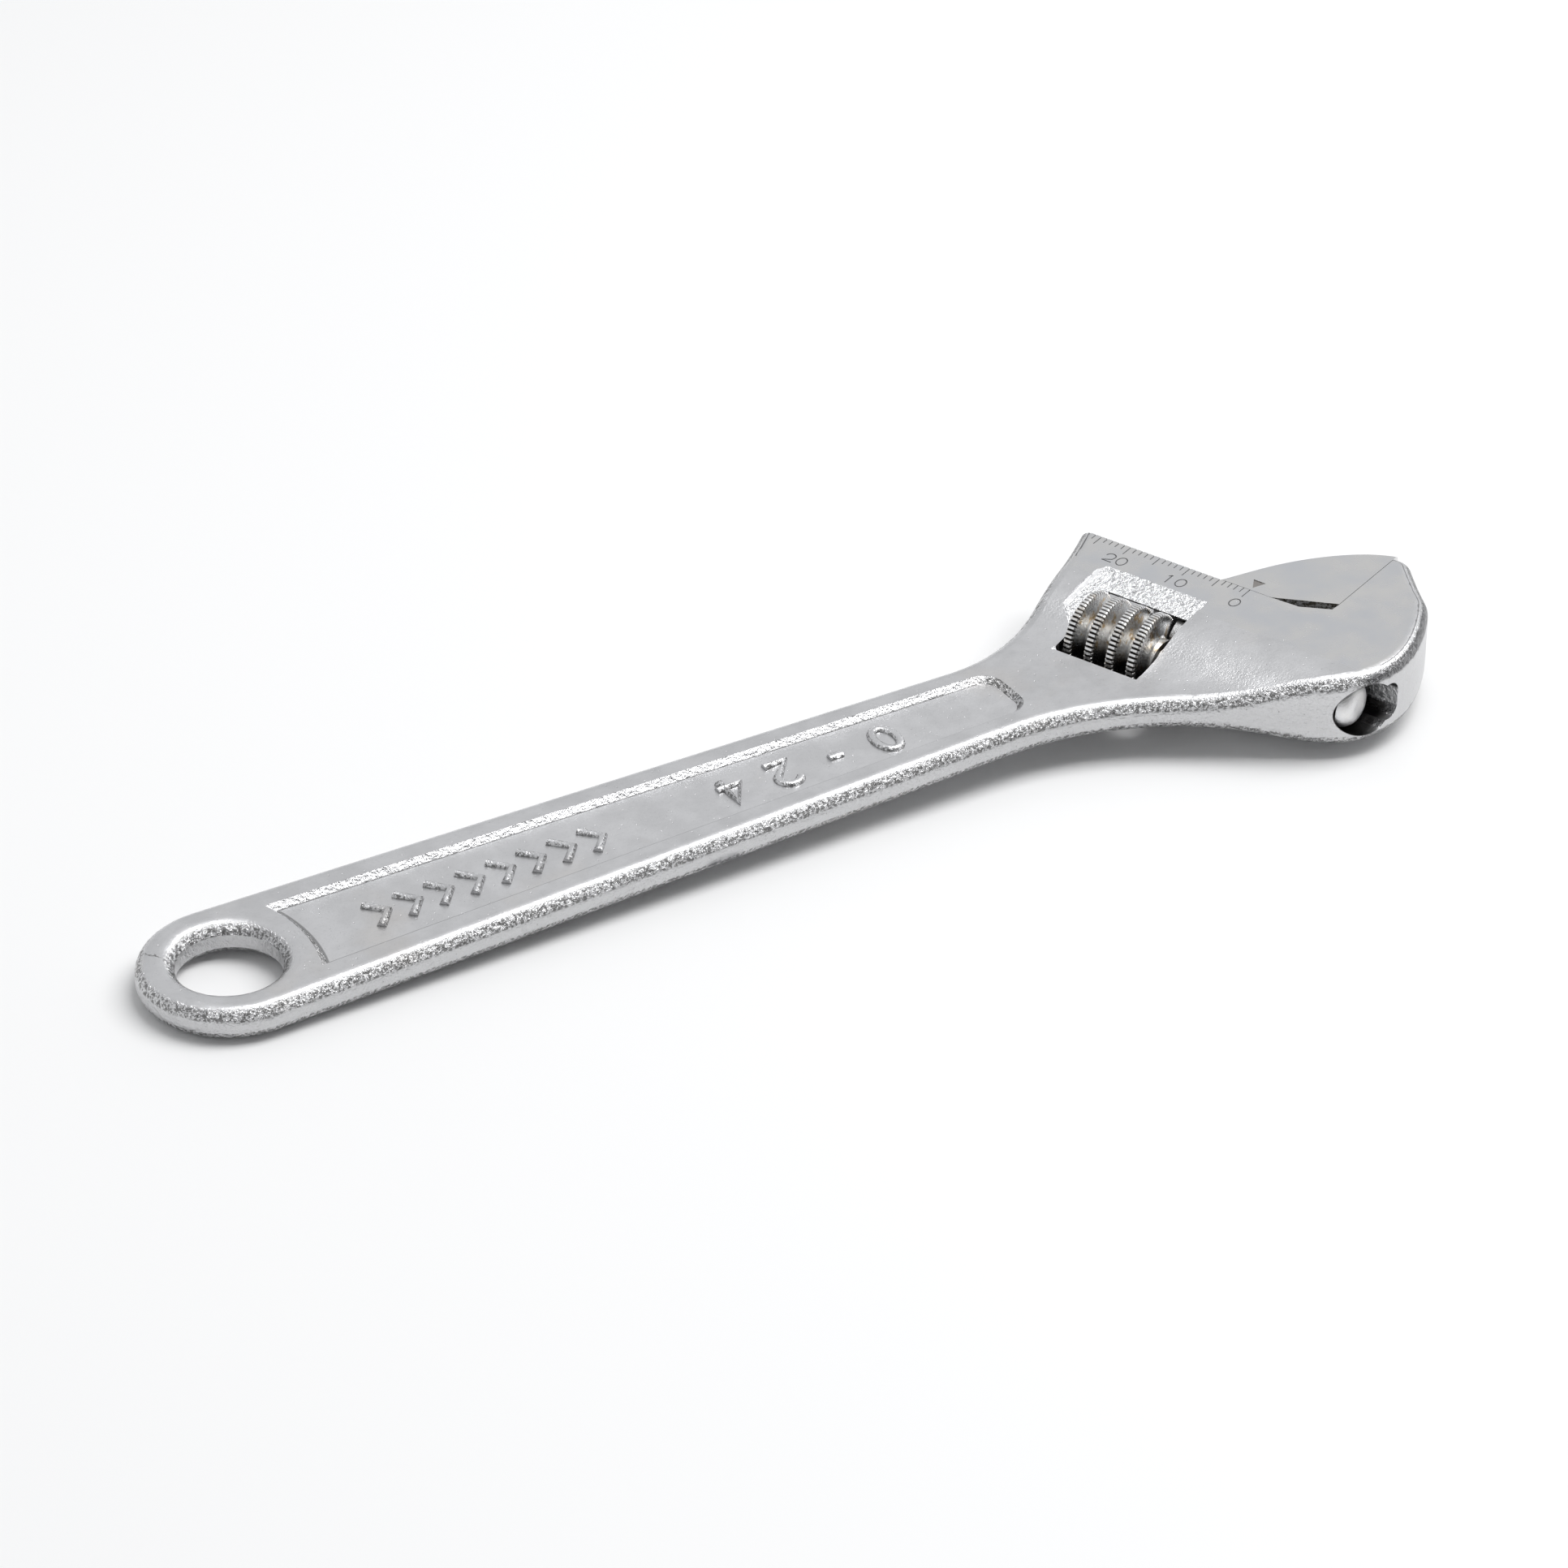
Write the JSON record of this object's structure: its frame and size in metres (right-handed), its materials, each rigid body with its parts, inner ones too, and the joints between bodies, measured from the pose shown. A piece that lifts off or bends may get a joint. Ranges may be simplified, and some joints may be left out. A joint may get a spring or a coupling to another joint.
{
  "type": "adjustable wrench",
  "caption": "Adjustable wrench with a forged handle, angled head, toothed sliding jaw and a knurled worm that sets the jaw opening.",
  "frame": {"origin": "centre of the hang hole, halfway through the thickness of the handle", "axes": "+X along the handle towards the head, +Y to the side the jaw opens towards, +Z out of the face that carries the opening scale"},
  "size_m": [0.1991, 0.0538, 0.014],
  "materials": {
    "plated_forging": "satin",
    "plated_jaw": "satin",
    "knurled_steel": "gloss",
    "pin_steel": "satin",
    "spring_steel": "satin"
  },
  "bodies": {
    "frame": {"body": "plated_forging", "worm_pin": "pin_steel", "worm_spring": "spring_steel"},
    "jaw": {"sliding_jaw": "plated_jaw"},
    "worm": {"adjusting_worm": "knurled_steel"}
  },
  "joints": [
    {"name": "jaw_slide", "type": "slide", "parent": "frame", "child": "jaw", "axis": [-0.3827, 0.9239, 0], "range_m": [0, 0.024]},
    {"name": "worm_spin", "type": "hinge", "parent": "frame", "child": "worm", "pos_m": [0.14377, 0.0024, 0], "axis": [0.3827, -0.9239, 0], "range_deg": [0, 2470]}
  ],
  "couplings": [
    {"joint": "worm_spin", "follows": "jaw_slide", "rad_per_m": 1795.2}
  ]
}
